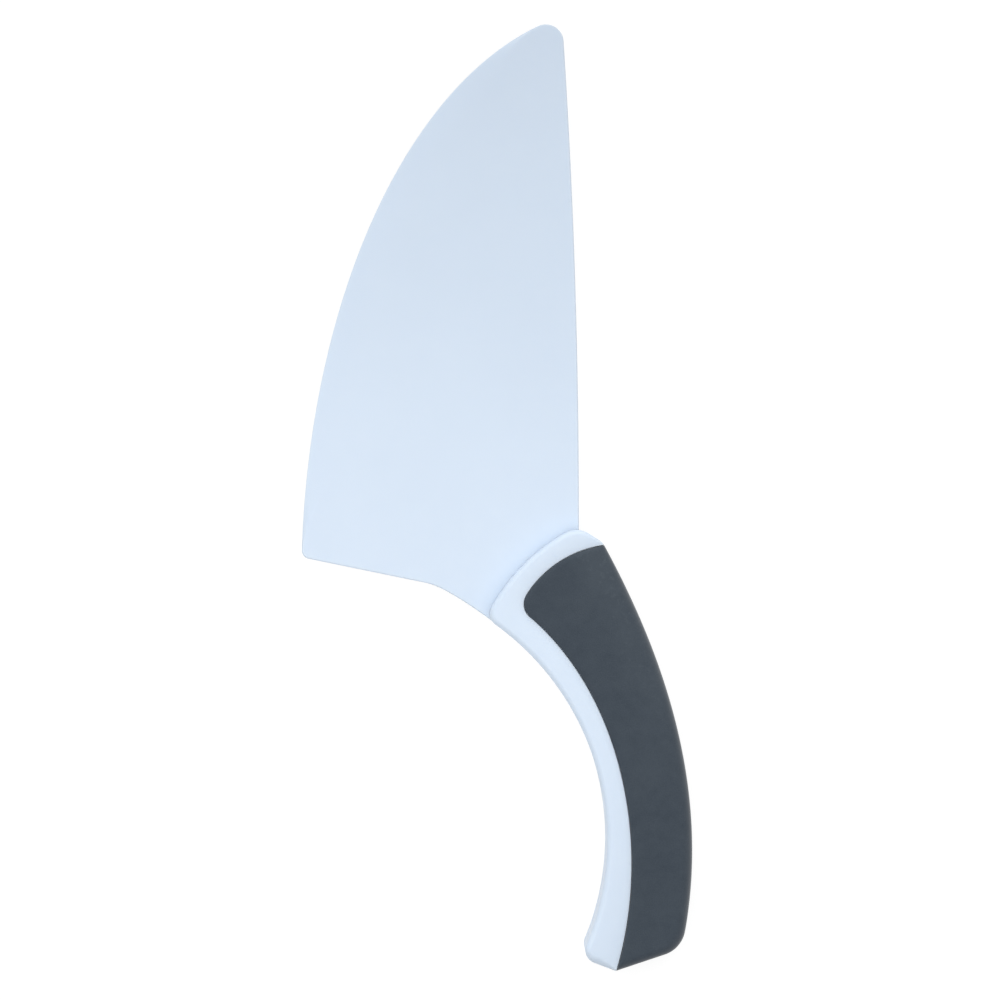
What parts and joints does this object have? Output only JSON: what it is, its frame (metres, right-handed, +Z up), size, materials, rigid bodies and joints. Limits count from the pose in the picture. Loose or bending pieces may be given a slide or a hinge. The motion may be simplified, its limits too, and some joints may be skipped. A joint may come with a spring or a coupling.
{
  "type": "cake server",
  "caption": "Cake server: a thin moulded blade with a curved belly edge, and a thick handle arched in the blade's plane with a soft grip over its outer side.",
  "frame": {"origin": "on the flat back of the soft grip, under the palm, level with the centre of the handle's arch", "axes": "+X away from the arch's centre, +Y along the server towards the blade's tip, +Z up through its thickness"},
  "size_m": [0.109, 0.2636, 0.015],
  "materials": {
    "pale_plastic": "satin",
    "grip_rubber": "matte"
  },
  "bodies": {
    "root": {"blade": "pale_plastic", "handle_front": "pale_plastic", "handle_back": "pale_plastic", "soft_grip": "grip_rubber"}
  },
  "joints": []
}
